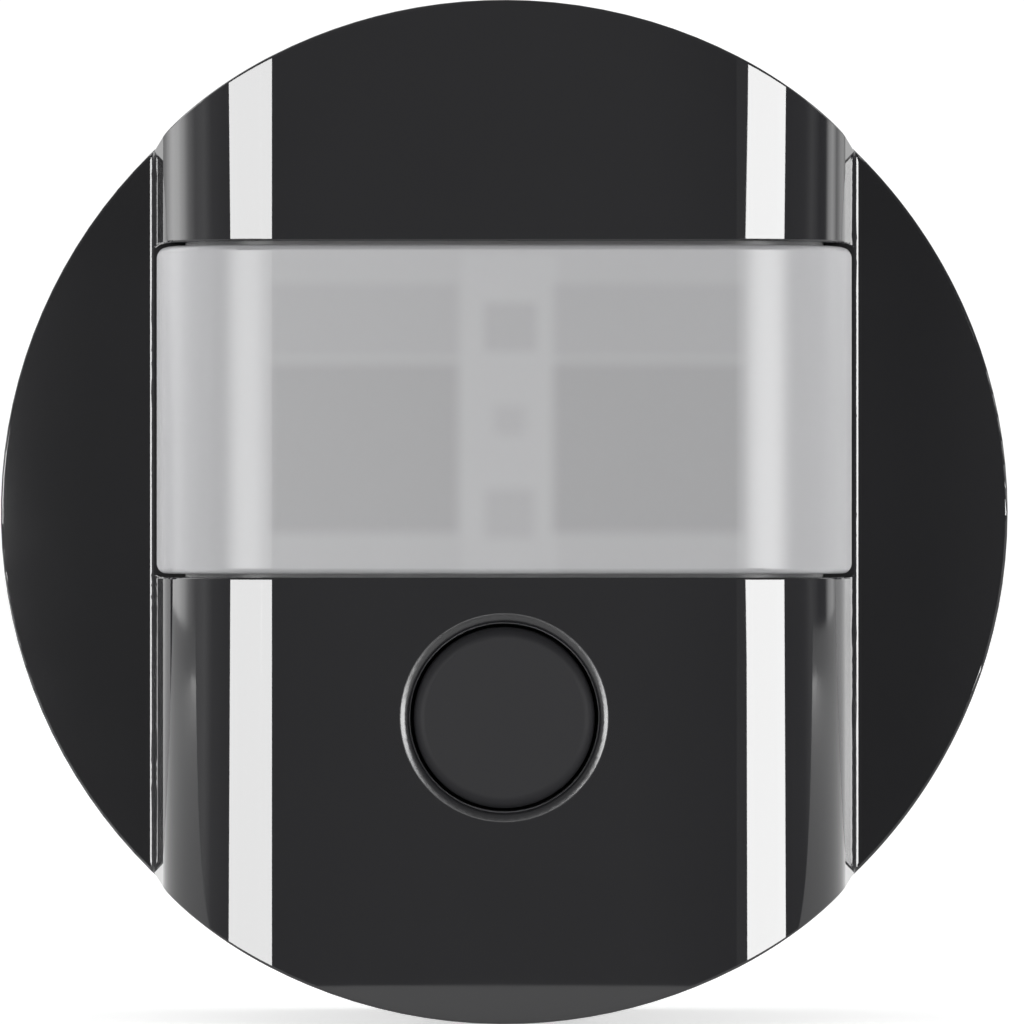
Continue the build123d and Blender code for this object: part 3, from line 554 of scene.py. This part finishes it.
# %% Give each node its finish
finishes = {
    cover_black: ["front_cover"],
    lens_milky: ["fresnel_lens"],
    button_black: ["push_button"],
    mask_white: ["lens_mask"],
    carrier_black: ["optics_carrier"],
    spring_steel: ["button_spring", "retaining_clips", "clamp_spring_left", "clamp_spring_right"],
    zinc_steel: ["carrier_screws", "housing_screws"],
    nickel_can: ["pyro_sensor_left", "pyro_sensor_right"],
    filter_dark: ["pyro_filter_left", "pyro_filter_right"],
    guide_clear: ["light_guide"],
    part_pale: ["status_led", "daylight_sensor", "board_chips", "fuse_resistor", "switch_plunger"],
    chip_black: [
        "infrared_receiver",
        "microcontroller",
        "switch_body",
        "board_socket",
        "board_header",
        "bridge_rectifier",
        "converter_chip",
    ],
    board_green: ["control_board", "power_board"],
    dial_blue: ["time_dial_body", "lux_dial_body", "range_dial_body"],
    dial_white: ["time_dial", "lux_dial", "range_dial"],
    chassis_grey: ["mounting_chassis"],
    housing_grey: ["rear_housing"],
    relay_black: ["relay"],
    film_yellow: ["film_capacitor"],
    sleeve_dark: ["smoothing_capacitors"],
    varistor_blue: ["varistor"],
    ferrite_grey: ["suppression_choke"],
    terminal_pale: ["terminal_block"],
    contact_brass: ["terminal_contacts"],
    key_orange: ["release_key_left", "release_key_right"],
}
undressed = set(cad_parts)
for finish, names in finishes.items():
    for name in names:
        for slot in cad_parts[name].material_slots:
            slot.material = finish
        undressed.discard(name)
print("nodes without a finish:", sorted(undressed))

# %% [markdown]
# ## Floor, camera and light
# The object is shown from straight in front, on white. A pale floor lies just below it. The
# camera stands well back with a long lens, as a product photographer does, so that the round
# face stays round and the band's ends hardly grow.

# %% Floor
FLOOR_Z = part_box("front_cover")[0].z
FLOOR_SIZE = 4.0  # metres, so that it fills any view
FLOOR_FRONT = 0.07  # metres in front of the seat: it ends here, so the gloss doesn't mirror it
bpy.ops.object.select_all(action="DESELECT")
bpy.ops.mesh.primitive_plane_add(
    size=FLOOR_SIZE, location=(0.0, FLOOR_SIZE / 2 - FLOOR_FRONT, FLOOR_Z)
)
floor = bpy.context.object
floor.name = "studio_floor"
bpy.ops.object.transform_apply(location=True)
print("floor at (mm):", round(FLOOR_Z / MM, 2))

# %% Finish of the floor
paper, tree, shader, place = start_material("pale_studio_paper")
fibres = add_node(
    tree, "ShaderNodeTexNoise", {}, {"Vector": place, "Scale": per_mm(1.5), "Detail": 3.0}
).outputs["Fac"]
colour = add_node(
    tree,
    "ShaderNodeMix",
    {"data_type": "RGBA"},
    {"Factor": fibres, 6: linear("#f4f4f3"), 7: linear("#f8f8f7")},
).outputs[2]
paper_values = {
    "Roughness": 0.9,
    "Emission Color": (1.0, 1.0, 1.0, 1.0),
    "Emission Strength": 0.55,
}
finish_shader(tree, shader, paper_values, {"Base Color": colour})
floor.data.materials.append(paper)

# %% Camera
CAMERA_DISTANCE = 0.569  # metres from the top of the band
CAMERA_LENS = 345.8  # millimetres, which frames the face from that distance
SHIFT_RIGHT = 0.0076  # share of the frame by which the object stands left of the middle
band_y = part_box("front_cover")[0].y
camera = bpy.data.objects.new("camera", bpy.data.cameras.new("camera"))
bpy.context.scene.collection.objects.link(camera)
camera.location = (0.0, band_y - CAMERA_DISTANCE, 0.0)
camera.rotation_euler = (pi / 2, 0.0, 0.0)
camera.data.lens = CAMERA_LENS
camera.data.sensor_width = 36.0
camera.data.shift_x = SHIFT_RIGHT
camera.data.clip_start = 0.01
camera.data.clip_end = 20.0
bpy.context.scene.camera = camera
bpy.context.scene.view_settings.view_transform = "Standard"
print("camera at (m):", [round(value, 3) for value in camera.location])

# %% [markdown]
# ## What the gloss mirrors
# Two strip lamps stand left and right of the camera. The band's flat top mirrors the dark gap
# between them, and its shoulders mirror the lamps as two straight stripes. A strip's edges are
# therefore placed by angle, as seen from the object. The inner part of the left strip stands
# close by, because the band's steep side mirrors the plate beside it, and the plate would show
# a far lamp there as a second light line. The strips only feed reflections, and the soft fill
# lamps only light the matt surfaces, so each can be set by itself.

# %% Lamps
def add_lamp(name, angle, distance, size, power, glossy, diffuse):
    """A rectangular lamp that faces the object from some angle to the right of the camera."""
    lamp = bpy.data.objects.new(name, bpy.data.lights.new(name, "AREA"))
    bpy.context.scene.collection.objects.link(lamp)
    lamp.data.shape = "RECTANGLE"
    lamp.data.size, lamp.data.size_y = size
    lamp.data.energy = power
    lamp.location = (distance * sin(angle), -distance * cos(angle), 0.0)
    lamp.rotation_euler = (pi / 2, 0.0, angle)
    lamp.visible_glossy = glossy
    lamp.visible_diffuse = diffuse


def strip_lamp(name, side, distance, inner, outer, half_height, radiance):
    """A strip that spans from one angle off the axis to another, all in degrees."""
    middle = radians((inner + outer) / 2)
    width = 2 * distance * tan(radians((outer - inner) / 2))
    height = 2 * distance * tan(radians(half_height))
    power = radiance * pi * width * height
    add_lamp(name, side * middle, distance, (width, height), power, True, False)


# %% The lamps in their places
FAR, NEAR = 3.0, 0.5  # metres
STRIP_HALF_HEIGHT = 9.0  # degrees
FILL_ANGLE = 77.0  # degrees
FILL_DISTANCE, FILL_SIZE, FILL_POWER = 1.2, (0.7, 0.9), 20.0  # metres and watts
strip_lamp("left_strip", -1, FAR, 13.24, 45.5, STRIP_HALF_HEIGHT, 17.5)
strip_lamp("left_strip_near", -1, NEAR, 6.9, 14.13, STRIP_HALF_HEIGHT, 17.5)
strip_lamp("right_strip", 1, FAR, 12.6, 52.5, STRIP_HALF_HEIGHT, 20.0)
for side in (-1, 1):
    angle = side * radians(FILL_ANGLE)
    add_lamp(f"fill_{side}", angle, FILL_DISTANCE, FILL_SIZE, FILL_POWER, False, True)
print("lamps:", [light.name for light in bpy.data.lights])

# %% [markdown]
# ## The room
# The room is what the shoulders of the band mirror further out. Dark flats stand beside the
# lamps, a pale wall at each side, and white paper hangs behind. A ramp over the angle round
# the object holds these tones for the gloss, and matt surfaces get one even tone.

# %% Tones round the room
ROOM_LIGHT = 4.0  # brightness that the ramp's white stands for
MATT_LIGHT = 0.47  # brightness that matt surfaces get
SEEN_LIGHT = 1.1  # brightness of the room where the camera sees it
room = [
    # degrees from the camera, left is negative, and brightness
    (-180, 1.0), (-172, 1.0), (-164, 0.25), (-150, 0.65), (-140, 1.4), (-128, 2.9), (-116, 3.7),
    (-106, 3.0), (-98, 1.5), (-88, 0.7), (-76, 0.9), (-66, 0.4), (-50, 0.3), (-3.3, 0.45),
    (-2.6, 0.15), (-2.0, 0.3), (2.4, 0.3), (2.75, 0.12), (3.2, 0.4),
    (50, 0.22), (76, 0.22), (86, 0.55), (98, 0.12), (108, 0.15), (114, 2.0), (121, 2.4),
    (131, 0.7), (142, 1.0), (152, 0.8), (164, 0.25), (172, 1.0), (180, 1.0),
]
print(len(room), "tones round the room")

# %% World
world = bpy.data.worlds.new("white_studio")
bpy.context.scene.world = world
world.use_nodes = True
tree = world.node_tree
background = tree.nodes["Background"]
direction = add_node(tree, "ShaderNodeTexCoord").outputs["Generated"]
axes = add_node(tree, "ShaderNodeSeparateXYZ", {}, {0: direction})
ahead = add_node(
    tree, "ShaderNodeMath", {"operation": "MULTIPLY"}, {0: axes.outputs["Y"], 1: -1.0}
).outputs[0]
around = add_node(
    tree, "ShaderNodeMath", {"operation": "ARCTAN2"}, {0: axes.outputs["X"], 1: ahead}
).outputs[0]
turn = add_node(
    tree, "ShaderNodeMath", {"operation": "MULTIPLY_ADD"}, {0: around, 1: 0.5 / pi, 2: 0.5}
).outputs[0]
tones = add_node(tree, "ShaderNodeValToRGB", {}, {"Fac": turn})
stops = tones.color_ramp.elements
while len(stops) < len(room):
    stops.new(0.5)
for stop, (angle, brightness) in zip(stops, room):
    stop.position = angle / 360 + 0.5
    stop.color = [brightness / ROOM_LIGHT] * 3 + [1.0]
mirrored = add_node(
    tree, "ShaderNodeMath", {"operation": "MULTIPLY"}, {0: tones.outputs["Color"], 1: ROOM_LIGHT}
).outputs[0]
rays = add_node(tree, "ShaderNodeLightPath").outputs
level = add_node(
    tree,
    "ShaderNodeMix",
    {"data_type": "FLOAT"},
    {"Factor": rays["Is Glossy Ray"], 2: MATT_LIGHT, 3: mirrored},
).outputs[0]
level = add_node(
    tree,
    "ShaderNodeMix",
    {"data_type": "FLOAT"},
    {"Factor": rays["Is Camera Ray"], 2: level, 3: SEEN_LIGHT},
).outputs[0]
tree.links.new(level, background.inputs["Strength"])
background.inputs["Color"].default_value = linear("#ffffff")
print(len(stops), "stops in the ramp")
